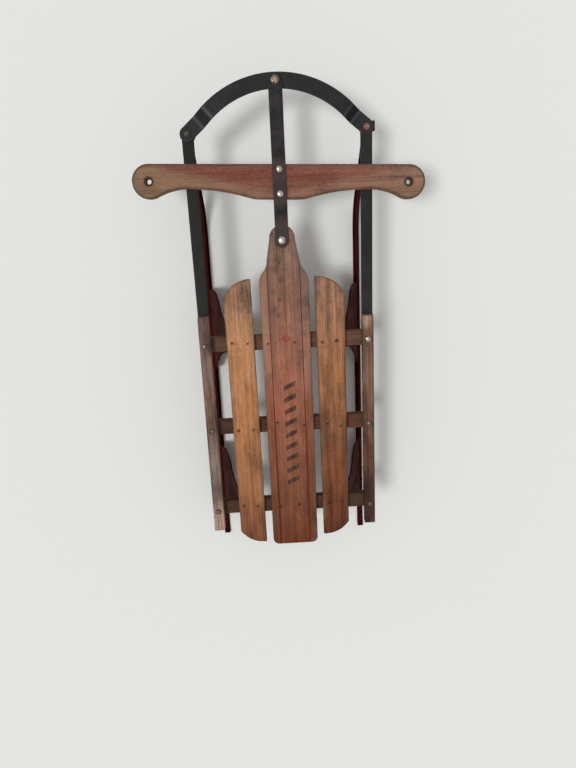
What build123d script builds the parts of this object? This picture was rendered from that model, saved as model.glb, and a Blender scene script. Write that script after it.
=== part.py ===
from build123d import *
import os
from math import asin, atan2, cos, degrees, hypot, radians, sin, sqrt

# Child's steerable runner sled: a slatted wooden deck on two steel runners, with a flat steel
# bow and a wooden steering bar that bend the fronts of the runners to one side.
# Millimetres. +X points to the front, +Y to the left, +Z up, and the origin is on the floor
# under the middle of the sled's length. It stands on its runners.

# Running gaps
stack_gap = 0.3          # between flat pieces that slide over one another
pin_gap = 0.06           # a pivot in the hole that turns on it
fixed_pin_gap = 0.05     # a rivet or bolt in a hole of its own body
drift_gap = 1.2          # a bow rivet in the holes of the linkage it leaves open
bar_lift = 5.0           # between the steering bar and the side bars under it
rebate_gap = 1.2         # behind the side bars' ends, in the rails

# Plan of the whole sled
runner_tail = -445.0
side_y = 147.5           # middle of the rails and runners, each side
front_crosspiece_x = 0.0
middle_crosspiece_x = -160.0
rear_crosspiece_x = -325.0

# Runners: an upside-down T of spring steel, curved up at the front to a flat tab
flange_width = 12.0
flange_thickness = 3.0
web_thickness = 3.0
web_height = 18.0
web_tail_set_back = 16.0
web_tail_slope = 14.0
tail_curl_radius = 30.0
tail_curl_run = 18.0
rise_radius = 90.0
rise_angle = radians(47.5)
crest_radius = 20.0
tab_length = 20.0
tab_width = 24.0
flex_x = 102.0           # where the front of each runner starts to bend sideways
knuckle_radius = 6.5

# Deck
deck_level = 125.0       # top of the crosspieces
crosspiece_width = 28.0
crosspiece_thickness = 18.0
crosspiece_overhang = 5.5    # past the middle of each rail
crosspiece_edge = 1.5
slat_thickness = 11.0
slat_inner_y = 57.0      # at the tail
slat_outer_y = 107.0
slat_front_x = 116.0
slat_nose_depth = 32.0
slat_tail_depth = 25.0
slat_arc_share = 1 / 3   # the end arcs pass this share in from the tip and the outer edge
slat_edge = 1.5
board_rear_x = -406.0
board_half_width = 44.0
board_shoulder_x = 108.0
board_neck_x = 146.0
board_neck_half = 29.0
board_throat_x = 182.0
board_throat_half = 22.5
board_nose_x = 206.0
board_corner_radius = 12.0
rail_width = 20.0
rail_thickness = 18.0
rail_rear_x = -366.0
rail_edge = 2.0

# Knees: pressed steel plates that spread from the crosspieces down to the runners
knee_thickness = 2.5
knee_foot_front = 92.0
knee_foot_rear = 68.0
knee_toe_height = 40.0
knee_heel_height = 28.0
knee_shoulder_x = 68.0
knee_shoulder_z = 72.0
knee_neck_front = 31.0
knee_neck_rear = 20.0
knee_lean = 36.0         # how far the plate leans in from foot to crosspiece
knee_flange = 20.0
knee_bend = 5.0

# Flat steel stock of the bow, the side bars and the strap
strip_thickness = 3.0
side_bar_width = 20.0
bow_width = 25.0
bow_front_x = 445.0
bow_radius = 169.0       # of the middle of the strip
bow_leg = 54.0           # straight run from the arc to each end rivet
bow_end_y = 150.0        # of the end rivets, so the side bars spread a little to the front
bow_step = 9.0           # the arch stands this much above its ends
bow_lead = 6.0           # flat run from the arc to each sloping step
bow_joggle = 22.0        # length of each sloping step
bow_bend = 12.0
strap_width = 23.0
strap_ramp_front = 18.0
strap_ramp_rear = 31.0
strip_bend = 7.0
pivot_x = 180.0          # the strap turns here, on the nose of the centre board

# Steering bar
bar_x = 275.5
bar_thickness = 16.0
bar_skew = radians(2.4)  # the bar sits a little askew on its strap
bar_half_depth = 28.3
bar_end_reach = 218.0
bar_belly_half = 32.0
bar_waist_reach = 152.0
bar_waist_depth = 11.5
bar_bend_share = 0.16    # the belly's bend takes this share of the way to the waist
bar_edge = 2.5
tow_hole_radius = 4.0
tow_hole_chamfer = 3.0

# Rivets that something turns on: shank radius, head radius and head height
strap_rivet = (3.5, 7.5, 3.6)
end_rivet = (3.0, 6.0, 3.0)
rail_rivet = (3.0, 5.5, 2.4)
rivet_crown_share = 0.55     # of the head's radius, flat on top
rivet_tail_height = 2.0
rivet_tail_extra = 2.5       # how far a rivet's tail is wider than its shank

# Levels that follow from the sizes above
deck_top = deck_level + slat_thickness
side_bar_bottom = deck_level + stack_gap
side_bar_top = side_bar_bottom + strip_thickness
rebate_depth = strip_thickness + 2 * stack_gap
tab_bottom = deck_level - strip_thickness
bow_end_bottom = side_bar_top + stack_gap
bow_arch_bottom = bow_end_bottom + bow_step
bow_arch_top = bow_arch_bottom + strip_thickness
strap_low = bow_arch_top + stack_gap
bar_bottom = side_bar_top + bar_lift
strap_high = bar_bottom + bar_thickness
strap_rear = deck_top + stack_gap
crosspiece_bottom = deck_level - crosspiece_thickness
through = 2 * strap_high     # longer than any hole

# Plan of the bow: its arc is followed by straight legs, which end over the side bars
bow_rivet_x = bow_front_x - bow_width / 2
bow_centre_x = bow_rivet_x - bow_radius
bow_half_angle = asin(bow_end_y / hypot(bow_radius, bow_leg)) - atan2(bow_leg, bow_radius)
bow_end_x = bow_centre_x + bow_radius * cos(bow_half_angle) - bow_leg * sin(bow_half_angle)

# One row for each side: name, sign of Y, front of the rail, rear of the slat, how far the slat's
# nose leans out at its inner and outer edge, and how far the runner's tab is set out
sides = [
    ("left", 1, 54.0, -399.0, (2.5, 2.5), 0.0),
    ("right", -1, 44.0, -389.0, (-3.0, 0.0), 3.0),
]
# One row for each crosspiece: name, X of its middle
crosspieces = [
    ("front", front_crosspiece_x),
    ("middle", middle_crosspiece_x),
    ("rear", rear_crosspiece_x),
]
finished = {}


def finish(name, builder):
    """Label a finished sub-part and keep it for export."""
    builder.part.label = name
    finished[name] = builder.part


def rivet(x, y, seat, grip, shank, head, head_height):
    """Round-headed rivet: its head sits at the seat's height, its tail under the grip."""
    tail = shank + rivet_tail_extra
    end = -grip - rivet_tail_height
    with BuildSketch(Plane(origin=(x, y, seat), x_dir=(1, 0, 0), z_dir=(0, -1, 0))) as section:
        with BuildLine():
            Polyline(
                (0, end),
                (tail, end),
                (tail, -grip),
                (shank, -grip),
                (shank, 0),
                (head, 0),
                (head * rivet_crown_share, head_height),
                (0, head_height),
                close=True)
        make_face()
    revolve(section.sketch, axis=Axis((x, y, seat), (0, 0, 1)))


def bent_strip(plane, stations, bend, width):
    """Flat bar bent along its length: the stations run along its underside."""
    with BuildSketch(plane) as profile:
        with BuildLine():
            FilletPolyline(*stations, radius=bend)
            offset(amount=strip_thickness, side=Side.LEFT)
        make_face()
    extrude(profile.sketch, amount=width / 2, both=True)


def strip_end(x, y, bottom, width):
    """Round end of a flat bar, centred on its rivet."""
    with BuildSketch(Plane.XY.offset(bottom)) as disc:
        with Locations((x, y)):
            Circle(width / 2)
    extrude(disc.sketch, amount=strip_thickness)


def drill(points, radius):
    """Holes right through the part, along Z."""
    with BuildSketch(Plane.XY) as holes:
        with Locations(*points):
            Circle(radius)
    extrude(holes.sketch, amount=through, mode=Mode.SUBTRACT)


# Crosspieces: three square wooden bars across the sled, which carry the deck
for name, x in crosspieces:
    with BuildPart() as crosspiece:
        with BuildSketch(Plane.XY.offset(crosspiece_bottom)):
            with Locations((x, 0)):
                Rectangle(crosspiece_width, 2 * (side_y + crosspiece_overhang))
        extrude(amount=crosspiece_thickness)
        chamfer(crosspiece.edges().filter_by(Axis.Y), length=crosspiece_edge)
        if name == "front":
            drill([(x, side_y), (x, -side_y)], rail_rivet[0] + fixed_pin_gap)
    finish(name + "_crosspiece", crosspiece)

# Centre board: a wide plank that narrows to a round nose under the steering strap
with BuildPart() as board:
    with BuildSketch(Plane.XY.offset(deck_level)):
        with BuildLine():
            edge = Line((board_rear_x, board_half_width), (board_shoulder_x, board_half_width))
            halfway = ((board_shoulder_x + board_neck_x) / 2, (board_half_width + board_neck_half) / 2)
            shoulder = TangentArc(edge @ 1, halfway, tangent=(1, 0))
            neck = TangentArc(halfway, (board_neck_x, board_neck_half), tangent=shoulder % 1)
            throat = Line(neck @ 1, (board_throat_x, board_throat_half))
            ThreePointArc(throat @ 1, (board_nose_x, 0), (board_throat_x, -board_throat_half))
            mirror([edge, shoulder, neck, throat], about=Plane.XZ)
            Line((board_rear_x, board_half_width), (board_rear_x, -board_half_width))
        make_face()
    extrude(amount=slat_thickness)
    fillet(board.edges().filter_by(Axis.Z).group_by(Axis.X)[0], radius=board_corner_radius)
    chamfer(board.faces().sort_by(Axis.Z)[-1].edges(), length=slat_edge)
    drill([(pivot_x, 0)], strap_rivet[0] + fixed_pin_gap)
finish("centre_board", board)

# Side slats: one plank each side, its two ends curved back towards the edge of the deck
for name, side, _, slat_rear_x, (lean_in, lean_out), _ in sides:
    with BuildPart() as slat:
        nose_inner_y = slat_inner_y + lean_in
        nose_outer_y = slat_outer_y + lean_out
        nose_arc_y = nose_outer_y - (nose_outer_y - nose_inner_y) * slat_arc_share
        tail_arc_y = slat_outer_y - (slat_outer_y - slat_inner_y) * slat_arc_share
        with BuildSketch(Plane.XY.offset(deck_level)):
            with BuildLine():
                Line((slat_rear_x, side * slat_inner_y), (slat_front_x, side * nose_inner_y))
                nose = ThreePointArc(
                    (slat_front_x, side * nose_inner_y),
                    (slat_front_x - slat_nose_depth * slat_arc_share, side * nose_arc_y),
                    (slat_front_x - slat_nose_depth, side * nose_outer_y))
                tail = ThreePointArc(
                    (slat_rear_x, side * slat_inner_y),
                    (slat_rear_x + slat_tail_depth * slat_arc_share, side * tail_arc_y),
                    (slat_rear_x + slat_tail_depth, side * slat_outer_y))
                Line(nose @ 1, tail @ 1)
            make_face()
        extrude(amount=slat_thickness)
        chamfer(slat.faces().sort_by(Axis.Z)[-1].edges(), length=slat_edge)
    finish(name + "_slat", slat)

# Rails: square strips over the ends of the crosspieces, cut away below for the side bars
for name, side, rail_front_x, *_ in sides:
    with BuildPart() as rail:
        rebate_rear_x = front_crosspiece_x - side_bar_width / 2 - rebate_gap
        with BuildSketch(Plane.XZ.offset(-side * side_y)):
            with BuildLine():
                Polyline(
                    (rail_rear_x, deck_level),
                    (rebate_rear_x, deck_level),
                    (rebate_rear_x, deck_level + rebate_depth),
                    (rail_front_x, deck_level + rebate_depth),
                    (rail_front_x, deck_level + rail_thickness),
                    (rail_rear_x, deck_level + rail_thickness),
                    close=True)
            make_face()
        extrude(amount=rail_width / 2, both=True)
        fillet(rail.faces().sort_by(Axis.Z)[-1].edges(), radius=rail_edge)
        drill([(front_crosspiece_x, side * side_y)], rail_rivet[0] + fixed_pin_gap)
    finish(name + "_rail", rail)

# Deck rivets: two through the front of the rails, which the side bars turn on, and one through
# the nose of the centre board, which the strap turns on
with BuildPart() as deck_rivets:
    for _, side, *_ in sides:
        grip = rail_thickness + crosspiece_thickness
        rivet(front_crosspiece_x, side * side_y, deck_level + rail_thickness, grip, *rail_rivet)
    seat = strap_rear + strip_thickness + stack_gap
    rivet(pivot_x, 0, seat, seat - deck_level, *strap_rivet)
finish("deck_rivets", deck_rivets)

# Knees: the foot is riveted to the runner's web, the plate leans in, the top bends under its
# crosspiece. The outline is wide at the foot and narrows to a neck.
knee_foot_y = side_y - web_thickness / 2
knee_top_y = knee_foot_y - knee_lean
for knee_name, knee_x in (crosspieces[0], crosspieces[2]):
    for name, side, *_ in sides:
        with BuildPart() as knee:
            with BuildSketch(Plane.YZ.offset(knee_x - knee_foot_rear)):
                with BuildLine():
                    FilletPolyline(
                        (side * knee_foot_y, flange_thickness),
                        (side * knee_foot_y, flange_thickness + web_height),
                        (side * knee_top_y, crosspiece_bottom),
                        (side * (knee_top_y - knee_flange), crosspiece_bottom),
                        radius=knee_bend)
                    offset(amount=knee_thickness, side=Side.LEFT if side > 0 else Side.RIGHT)
                make_face()
            extrude(amount=knee_foot_front + knee_foot_rear)
            with BuildSketch(Plane.XZ):
                with BuildLine():
                    base = Line(
                        (knee_x - knee_foot_rear, flange_thickness),
                        (knee_x + knee_foot_front, flange_thickness))
                    toe = Line(base @ 1, (knee_x + knee_foot_front, knee_toe_height))
                    shoulder = TangentArc(
                        toe @ 1, (knee_x + knee_shoulder_x, knee_shoulder_z), tangent=(0, 1))
                    neck = TangentArc(
                        shoulder @ 1, (knee_x + knee_neck_front, crosspiece_bottom), tangent=shoulder % 1)
                    top = Line(neck @ 1, (knee_x - knee_neck_rear, crosspiece_bottom))
                    heel = Line(base @ 0, (knee_x - knee_foot_rear, knee_heel_height))
                    TangentArc(top @ 1, heel @ 1, tangent=(0, -1))
                make_face()
            extrude(amount=side_y, both=True, mode=Mode.INTERSECT)
        finish(name + "_" + knee_name + "_knee", knee)

# Runners: the outline of the rise is one arc, a straight climb and a crest that levels to the tab
tab_x = bow_end_x - tab_length / 2
arc_rise = (rise_radius + crest_radius) * (1 - cos(rise_angle))
climb = (tab_bottom - arc_rise) / sin(rise_angle)
rise_x = tab_x - (rise_radius + crest_radius) * sin(rise_angle) - climb * cos(rise_angle)


def on_rise(height):
    """Point at the top of the rising arc, a height above the runner's sole."""
    reach = rise_radius - height
    return (rise_x + reach * sin(rise_angle), rise_radius - reach * cos(rise_angle))


def runner_steel(side, tab_outward):
    """Whole runner: flange, web and tab, in the active part."""
    plane = Plane.XZ.offset(-side * side_y)
    sole_front = on_rise(0)
    climb_end = (sole_front[0] + climb * cos(rise_angle), sole_front[1] + climb * sin(rise_angle))
    curl_lift = tail_curl_radius - sqrt(tail_curl_radius ** 2 - tail_curl_run ** 2)
    tail_foot = (runner_tail + tail_curl_run, 0)
    with BuildSketch(plane) as flange:
        with BuildLine():
            Line((tab_x + tab_length, tab_bottom), (tab_x, tab_bottom))
            TangentArc((tab_x, tab_bottom), climb_end, tangent=(-1, 0))
            slope = Line(climb_end, sole_front)
            TangentArc(sole_front, (rise_x, 0), tangent=slope % 1)
            Line((rise_x, 0), tail_foot)
            TangentArc(tail_foot, (runner_tail, curl_lift), tangent=(-1, 0))
            offset(amount=flange_thickness, side=Side.RIGHT)
        make_face()
    extrude(flange.sketch, amount=flange_width / 2, both=True)
    web_root = flange_thickness / 2
    web_top = flange_thickness + web_height
    web_rear_x = runner_tail + tail_curl_run + web_tail_set_back
    web_tip_x = climb_end[0] - web_root * sin(rise_angle)
    web_tip_z = climb_end[1] + web_root * cos(rise_angle)
    with BuildSketch(plane) as web:
        with BuildLine():
            Polyline(
                (rise_x, web_root),
                (web_rear_x, web_root),
                (web_rear_x + web_tail_slope, web_top),
                (rise_x, web_top))
            TangentArc((rise_x, web_top), on_rise(web_top), tangent=(1, 0))
            Polyline(on_rise(web_top), (web_tip_x, web_tip_z), on_rise(web_root))
            TangentArc((rise_x, web_root), on_rise(web_root), tangent=(1, 0))
        make_face()
    extrude(web.sketch, amount=web_thickness / 2, both=True)
    with BuildSketch(Plane.XY.offset(tab_bottom)) as tab:
        with Locations((bow_end_x, side * (bow_end_y + tab_outward))):
            Rectangle(tab_length, tab_width)
    extrude(tab.sketch, amount=strip_thickness)
    drill([(bow_end_x, side * bow_end_y)], end_rivet[0] + drift_gap)


# Each runner is one bar of spring steel. Its front is a node of its own, which turns about an
# upright axis where the real bar starts to bend: the joint's two faces are round that axis.
cut_width = 3 * tab_width
for name, side, _, _, _, tab_outward in sides:
    with BuildPart() as runner:
        runner_steel(side, tab_outward)
        with BuildSketch(Plane.XY):
            with Locations(((runner_tail + flex_x) / 2, side * side_y)):
                Rectangle(flex_x - runner_tail, cut_width)
            with Locations((flex_x, side * side_y)):
                Circle(knuckle_radius)
        extrude(amount=deck_level, mode=Mode.INTERSECT)
    finish(name + "_runner", runner)

    with BuildPart() as runner_nose:
        runner_steel(side, tab_outward)
        with BuildSketch(Plane.XY):
            with Locations(((flex_x + bow_front_x) / 2, side * side_y)):
                Rectangle(bow_front_x - flex_x, cut_width)
            with Locations((flex_x, side * side_y)):
                Circle(knuckle_radius + stack_gap, mode=Mode.SUBTRACT)
        extrude(amount=deck_level, mode=Mode.INTERSECT)
    finish(name + "_runner_nose", runner_nose)

# Side bars: flat steel from the front rail rivets to the ends of the bow
for name, side, *_ in sides:
    with BuildPart() as side_bar:
        rear = Vector(front_crosspiece_x, side * side_y)
        front = Vector(bow_end_x, side * bow_end_y)
        with BuildSketch(Plane.XY.offset(side_bar_bottom)):
            SlotCenterPoint((rear + front) / 2, front, side_bar_width)
        extrude(amount=strip_thickness)
        drill([rear], rail_rivet[0] + pin_gap)
        drill([front], end_rivet[0] + drift_gap)
    finish(name + "_side_bar", side_bar)

# Bow: a flat steel arch, stepped down at each end to lie on the side bars
with BuildPart() as bow:
    with BuildSketch(Plane.XY.offset(bow_arch_bottom)):
        with BuildLine():
            half = degrees(bow_half_angle)
            outer = CenterArc((bow_centre_x, 0), bow_radius + bow_width / 2, -half, 2 * half)
            inner = CenterArc((bow_centre_x, 0), bow_radius - bow_width / 2, -half, 2 * half)
            Line(outer @ 0, inner @ 0)
            Line(outer @ 1, inner @ 1)
        make_face()
    extrude(amount=strip_thickness)
    for _, side, *_ in sides:
        leg_x = bow_centre_x + bow_radius * cos(bow_half_angle)
        leg_y = side * bow_radius * sin(bow_half_angle)
        along = Vector(-sin(bow_half_angle), side * cos(bow_half_angle), 0)
        across = along.cross(Vector(0, 0, 1))
        stations = [
            (0, bow_arch_bottom),
            (bow_lead, bow_arch_bottom),
            (bow_lead + bow_joggle, bow_end_bottom),
            (bow_leg, bow_end_bottom)]
        bent_strip(Plane(origin=(leg_x, leg_y, 0), x_dir=along, z_dir=across), stations, bow_bend, bow_width)
        strip_end(bow_end_x, side * bow_end_y, bow_end_bottom, bow_width)
    drill([(bow_end_x, bow_end_y), (bow_end_x, -bow_end_y)], end_rivet[0] + fixed_pin_gap)
    drill([(bow_rivet_x, 0)], strap_rivet[0] + pin_gap)
finish("bow", bow)

# Bow end rivets: each holds the bow, a side bar and a runner's tab together
with BuildPart() as bow_end_rivets:
    for _, side, *_ in sides:
        seat = bow_end_bottom + strip_thickness
        rivet(bow_end_x, side * bow_end_y, seat, seat - tab_bottom + stack_gap, *end_rivet)
finish("bow_end_rivets", bow_end_rivets)

# Steering strap: flat steel from the bow, up over the steering bar and down to the board's nose
with BuildPart() as strap:
    ramp_front_x = bar_x + bar_half_depth + strip_bend
    ramp_rear_x = bar_x - bar_half_depth - strip_bend
    stations = [
        (pivot_x, strap_rear),
        (ramp_rear_x - strap_ramp_rear, strap_rear),
        (ramp_rear_x, strap_high),
        (ramp_front_x, strap_high),
        (ramp_front_x + strap_ramp_front, strap_low),
        (bow_rivet_x, strap_low)]
    bent_strip(Plane.XZ, stations, strip_bend, strap_width)
    strip_end(pivot_x, 0, strap_rear, strap_width)
    strip_end(bow_rivet_x, 0, strap_low, strap_width)
    drill([(pivot_x, 0)], strap_rivet[0] + pin_gap)
    drill([(bow_rivet_x, 0)], strap_rivet[0] + fixed_pin_gap)
finish("steering_strap", strap)

# Steering bar: a shaped hardwood handle with a round grip at each end, a waist between the grip
# and the belly, and a countersunk hole for the tow rope in each grip
with BuildPart() as bar:
    bar_along = (-sin(bar_skew), -cos(bar_skew), 0)
    bar_plane = Plane(origin=(bar_x, 0, bar_bottom), x_dir=bar_along, z_dir=(0, 0, 1))
    belly = Vector(bar_belly_half, -bar_half_depth)
    waist = Vector(bar_waist_reach, -bar_waist_depth)
    bend = belly + (waist - belly) * bar_bend_share
    grip = Vector(bar_end_reach, 0)
    hollow_radius = ((grip.X - waist.X) ** 2 + waist.Y ** 2 - bar_half_depth ** 2) / (
        2 * (bar_half_depth - bar_waist_depth))
    hollow_centre = Vector(waist.X, waist.Y - hollow_radius)
    grip_start = grip + (hollow_centre - grip).normalized() * bar_half_depth
    with BuildSketch(bar_plane):
        with BuildLine():
            Line((0, -bar_half_depth), belly)
            swell = TangentArc(belly, bend, tangent=(1, 0))
            TangentArc(bend, waist, tangent=swell % 1)
            TangentArc(waist, grip_start, tangent=(1, 0))
            ThreePointArc(grip_start, (bar_end_reach + bar_half_depth, 0), (bar_end_reach, bar_half_depth))
            Line((bar_end_reach, bar_half_depth), (0, bar_half_depth))
            mirror(about=Plane.YZ)
        make_face()
    extrude(amount=bar_thickness)
    chamfer(bar.faces().filter_by(Axis.Z).edges(), length=bar_edge)
    with BuildSketch(bar_plane):
        with Locations((bar_end_reach, 0), (-bar_end_reach, 0)):
            Circle(tow_hole_radius)
    extrude(amount=bar_thickness, mode=Mode.SUBTRACT)
    chamfer(bar.edges(Select.LAST).filter_by(GeomType.CIRCLE), length=tow_hole_chamfer)
finish("steering_bar", bar)

# Bow rivet: fixed in the strap, and the middle of the bow turns on it
with BuildPart() as bow_rivet:
    rivet(bow_rivet_x, 0, strap_low + strip_thickness, 2 * (strip_thickness + stack_gap), *strap_rivet)
finish("bow_rivet", bow_rivet)

os.makedirs("parts", exist_ok=True)
for name, solid in finished.items():
    export_step(solid, "parts/" + name + ".step")
    print(name, round(solid.volume / 1000, 2), "cm3", len(solid.solids()), "solids")
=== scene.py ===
from functools import partial
from math import asin, cos, pi, radians, sin
from random import Random

import bmesh
import bpy
from mathutils import Matrix, Vector, kdtree, noise


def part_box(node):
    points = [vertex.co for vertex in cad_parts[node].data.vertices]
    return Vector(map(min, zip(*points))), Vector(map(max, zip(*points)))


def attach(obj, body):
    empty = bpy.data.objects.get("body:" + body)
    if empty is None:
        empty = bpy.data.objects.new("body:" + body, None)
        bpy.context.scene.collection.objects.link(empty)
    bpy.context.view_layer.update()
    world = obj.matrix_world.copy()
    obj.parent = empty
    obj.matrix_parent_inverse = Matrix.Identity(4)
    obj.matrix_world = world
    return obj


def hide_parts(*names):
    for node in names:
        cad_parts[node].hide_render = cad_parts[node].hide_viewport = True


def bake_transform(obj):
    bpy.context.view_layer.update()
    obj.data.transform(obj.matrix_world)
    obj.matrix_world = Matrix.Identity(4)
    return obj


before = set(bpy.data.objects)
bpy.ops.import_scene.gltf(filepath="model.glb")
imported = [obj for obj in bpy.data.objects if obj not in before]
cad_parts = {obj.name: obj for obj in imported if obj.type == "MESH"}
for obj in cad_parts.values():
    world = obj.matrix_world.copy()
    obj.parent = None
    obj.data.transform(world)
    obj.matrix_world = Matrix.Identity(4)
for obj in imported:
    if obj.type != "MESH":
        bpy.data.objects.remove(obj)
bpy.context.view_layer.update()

# Camera: it looks down on the deck from ahead of the sled's middle, with the bow at the top of
# the picture, through a lens whose focal length is 577 of the picture's 768 rows.
focal_rows = 577
picture_rows = 768
camera_place = (0.1880, 0.0194, 1.1691)
looking = Vector((-0.2494, -0.0170, -0.9683)).normalized()
upward = Vector((0.9674, -0.0504, -0.2483))
rightward = looking.cross(upward).normalized()
camera = bpy.data.objects.new("camera", bpy.data.cameras.new("camera"))
camera.data.lens = camera.data.sensor_width * focal_rows / picture_rows
turn = Matrix((rightward, rightward.cross(looking), -looking)).transposed().to_4x4()
camera.matrix_world = Matrix.Translation(camera_place) @ turn
bpy.context.scene.collection.objects.link(camera)
bpy.context.scene.camera = camera

# Runners: each is one bar of spring steel rolled to an upside-down T, curved up at the front to a
# flat tab, in dark red enamel that has worn to rust on the sole. The flange and the web are swept
# along the same line: a flat sole, an arc, a straight climb and a crest.
mm = 0.001
runner_y = 147.5 * mm
flange_width = 12 * mm
flange_thickness = 3 * mm
web_thickness = 3 * mm
web_height = 18 * mm
web_root = 1 * mm
web_slope = 14 * mm
web_set_back = 16 * mm
rise_radius = 90 * mm
rise_angle = radians(47.5)
rise_steps = 24
crest_radius = 20 * mm
crest_steps = 8
curl_radius = 30 * mm
curl_run = 18 * mm
curl_steps = 8
tab_length = 20 * mm
tab_width = 24 * mm
tab_outward = {"left": 2.5 * mm, "right": 5.5 * mm}
tab_neck = 5 * mm
tab_corner = 5 * mm
tab_corner_cuts = 4
tab_square_end = 9 * mm
tab_rust = 26 * mm
hair = 0.001 * mm


def linear(text):
    """Linear colour of an sRGB hex value."""
    parts = [int(text[i:i + 2], 16) / 255 for i in (1, 3, 5)]
    return [p / 12.92 if p <= 0.04045 else ((p + 0.055) / 1.055) ** 2.4 for p in parts] + [1]


def add_node(material, kind, inputs=None, stops=(), **settings):
    """New shader node: an input takes a value or another node's output, a ramp takes its stops."""
    node = material.node_tree.nodes.new("ShaderNode" + kind)
    for name, value in settings.items():
        setattr(node, name, value)
    for socket, value in (inputs or {}).items():
        if isinstance(value, bpy.types.NodeSocket):
            material.node_tree.links.new(value, node.inputs[socket])
        elif isinstance(value, str):
            node.inputs[socket].default_value = linear(value)
        else:
            node.inputs[socket].default_value = value
    for i, (place, tone) in enumerate(stops):
        stop = node.color_ramp.elements[i] if i < 2 else node.color_ramp.elements.new(place)
        stop.position = place
        stop.color = linear(tone)
    return node.outputs[0]


def new_material(name, gloss=0.5):
    """Empty material: its shader, with how much that reflects, what adds its nodes, its place."""
    material = bpy.data.materials.new(name)
    material.use_nodes = True
    shader = material.node_tree.nodes["Principled BSDF"]
    shader.inputs["Specular IOR Level"].default_value = gloss
    node = partial(add_node, material)
    return material, shader, node, node("TexCoord").node.outputs["Object"]


def connect(material, shader, **sources):
    """Links node outputs to the shader's sockets, whose names are written with low lines."""
    for socket, source in sources.items():
        material.node_tree.links.new(source, shader.inputs[socket.replace("_", " ")])


def enamel(name, paint, dusty, rust, roughness, gloss, chipped, edge_wear, mottled=0.3):
    """Stove enamel on steel, dipped thin: a satin coat that dust dulls in clouds, chipped to rust in specks
    and along the arrises. Within the painted-shade spots at a strip's steps, the coat is painted near black,
    a painted shade, with a painted highlight of pale grey round it."""
    material, shader, node, place = new_material(name, gloss)
    cloud = node("TexNoise", {"Vector": place, "Scale": 1 / (35 * mm), "Detail": 4})
    chips = node("TexNoise", {"Vector": place, "Scale": 1 / (6 * mm), "Detail": 6, "Roughness": 0.65})
    grit = node("TexNoise", {"Vector": place, "Scale": 1 / (1.2 * mm), "Detail": 3})
    edge, stain, smudge_and_painted_shade = [node("Attribute", attribute_name=mark).node.outputs["Fac"]
                           for mark in ("edge", "stain", "smudge_and_painted_shade")]
    # Chips, rubbed arrises and stains add up to bare steel.
    worn = node("Math", {0: edge, 1: edge_wear, 2: chips}, operation="MULTIPLY_ADD")
    worn = node("Math", {0: stain, 1: 0.2, 2: worn}, operation="MULTIPLY_ADD")
    bare = node("MapRange", {"Value": worn, "From Min": 0.74 - chipped, "From Max": 0.84 - chipped})
    # Clouds, chips and stains add up to dust.
    dust = node("Math", {0: stain, 1: 0.45, 2: cloud}, operation="MULTIPLY_ADD")
    dust = node("Math", {0: chips, 1: mottled, 2: dust}, operation="MULTIPLY_ADD")
    haze = node("MapRange", {"Value": dust, "From Min": 0.4 + mottled / 2, "From Max": 0.75 + mottled / 2})
    coat = node("MixRGB", {"Fac": haze, "Color1": paint, "Color2": dusty})
    # Painted highlight and painted shade at a strip's steps: pale grey round each spot and near black within
    # it.
    painted_gleam = node("MapRange", {"Value": smudge_and_painted_shade, "From Min": 0.05, "From Max": 0.3, "To Max": 0.3})
    coat = node("MixRGB", {"Fac": painted_gleam, "Color1": coat, "Color2": "#565b60"})
    painted_bend_shade = node("MapRange", {"Value": smudge_and_painted_shade, "From Min": 0.36, "From Max": 0.6, "To Max": 0.85})
    coat = node("MixRGB", {"Fac": painted_bend_shade, "Color1": coat, "Color2": "#08090c"})
    steel = node("MixRGB", {"Fac": grit, "Color1": rust, "Color2": "#2a1a14"})
    skin = node("MixRGB", {"Fac": bare, "Color1": coat, "Color2": steel})
    dull = node("MapRange", {"Value": haze, "To Min": roughness, "To Max": roughness + 0.2})
    rough = node("MixRGB", {"Fac": bare, "Color1": dull, "Color2": (0.85, 0.85, 0.85, 1)})
    # The bare spots lie lower than the coat, and all of it is slightly gritty.
    low = node("Math", {0: bare, 1: -0.6, 2: cloud}, operation="MULTIPLY_ADD")
    height = node("Math", {0: grit, 1: 0.25, 2: low}, operation="MULTIPLY_ADD")
    relief = node("Bump", {"Height": height, "Strength": 0.5, "Distance": 0.25 * mm})
    connect(material, shader, Base_Color=skin, Roughness=rough, Normal=relief)
    return material


def sharp_edges(bm):
    """Edges at which two faces meet at a clear angle."""
    return [e for e in bm.edges if e.is_manifold and e.calc_face_angle(0) > radians(35)]


def round_edges(bm, edges, radius, cuts):
    """Rounds edges of a mesh to a radius, in a number of cuts."""
    bmesh.ops.bevel(bm, geom=edges, offset=radius, offset_type="OFFSET", affect="EDGES",
                    segments=cuts, profile=0.5, material=-1, clamp_overlap=True)


def cut_up(bm, spacing):
    """Cuts the mesh across each axis that has a spacing, so that wear has vertices to sit on."""
    for axis in range(3):
        if not spacing[axis]:
            continue
        places = [v.co[axis] for v in bm.verts]
        count = int((max(places) - min(places)) / spacing[axis])
        way = Vector((axis == 0, axis == 1, axis == 2))
        for i in range(1, count + 1):
            where = min(places) + (max(places) - min(places)) * i / (count + 1)
            geometry = bm.verts[:] + bm.edges[:] + bm.faces[:]
            bmesh.ops.bisect_plane(bm, geom=geometry, dist=0.01 * mm, plane_co=way * where, plane_no=way)


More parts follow.
